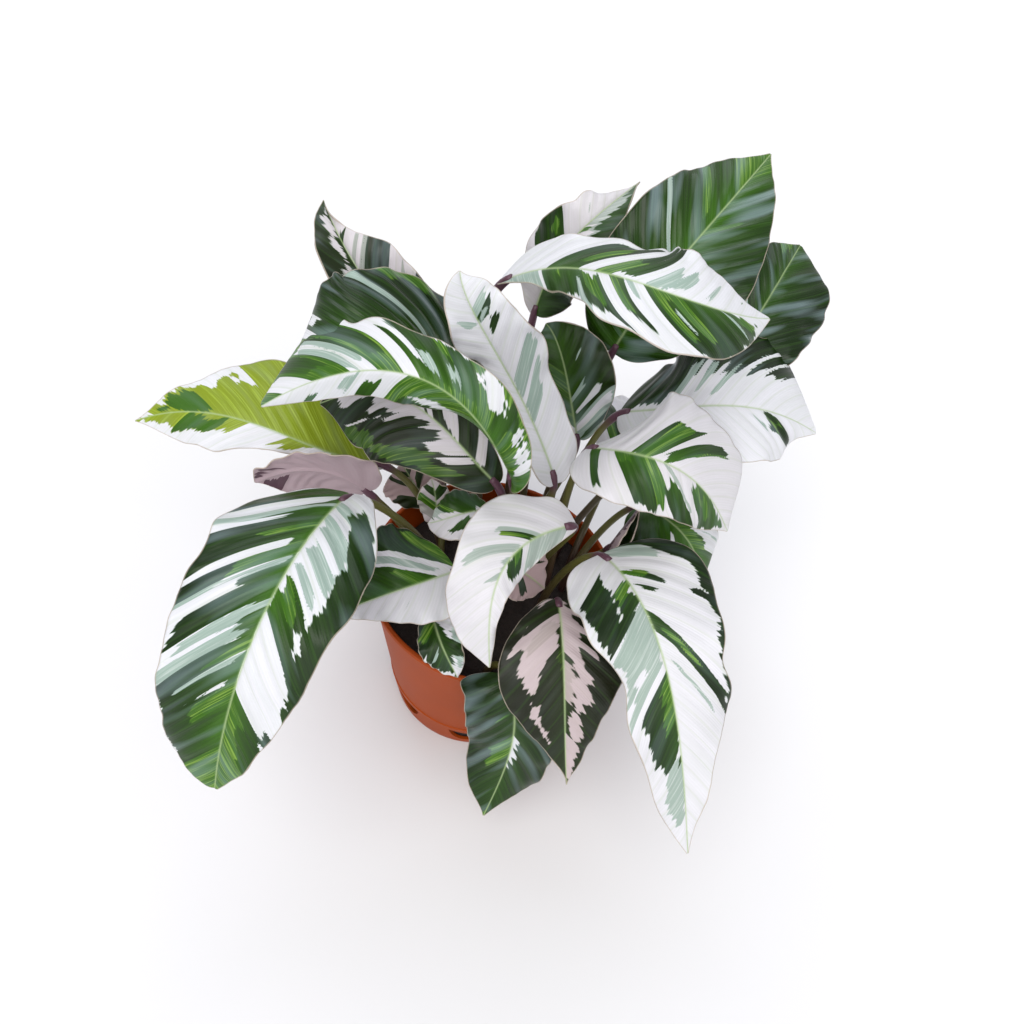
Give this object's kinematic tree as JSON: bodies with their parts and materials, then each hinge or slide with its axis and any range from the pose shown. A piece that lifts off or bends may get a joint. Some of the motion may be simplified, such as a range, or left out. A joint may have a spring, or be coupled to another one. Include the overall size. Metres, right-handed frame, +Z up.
{
  "type": "potted calathea",
  "caption": "House plant with broad, waved, white-splashed leaves on slim stems, standing in soil in a round tapered nursery pot with drainage openings.",
  "frame": {"origin": "centre of the pot's flat base, on the surface it stands on", "axes": "+Z up along the pot's axis, -Y towards the side that the picture is taken from, +X to that side's right"},
  "size_m": [0.3074, 0.2976, 0.2672],
  "materials": {
    "pot": "satin moulded terracotta-coloured plastic",
    "soil": "dark moist potting soil",
    "leaf": "semi-gloss leaf, green splashed with white, mauve underneath"
  },
  "bodies": {
    "root": {"pot": "pot", "soil": "soil", "leaf_front_left": "leaf", "leaf_left_low": "leaf", "leaf_left_arch": "leaf", "leaf_left_under": "leaf", "leaf_centre_white": "leaf", "leaf_back_left_dark": "leaf", "leaf_back_left_tall": "leaf", "leaf_right_arch": "leaf", "leaf_back_right_big": "leaf", "leaf_back_right_far": "leaf", "leaf_back_tip_fold": "leaf", "leaf_centre_back": "leaf", "leaf_right_white": "leaf", "leaf_right_mid": "leaf", "leaf_front_white": "leaf", "leaf_front_right_big": "leaf", "leaf_front_pink": "leaf", "leaf_front_glossy": "leaf", "leaf_left_inner": "leaf", "leaf_pot_small": "leaf", "leaf_left_mauve": "leaf", "leaf_right_low": "leaf", "leaf_inner_striped": "leaf", "leaf_inner_small": "leaf", "leaf_inner_edge": "leaf", "leaf_rolled": "leaf", "leaf_front_shade": "leaf", "leaf_back_low_middle": "leaf", "leaf_back_low_left": "leaf", "leaf_back_low_right": "leaf"}
  },
  "joints": []
}
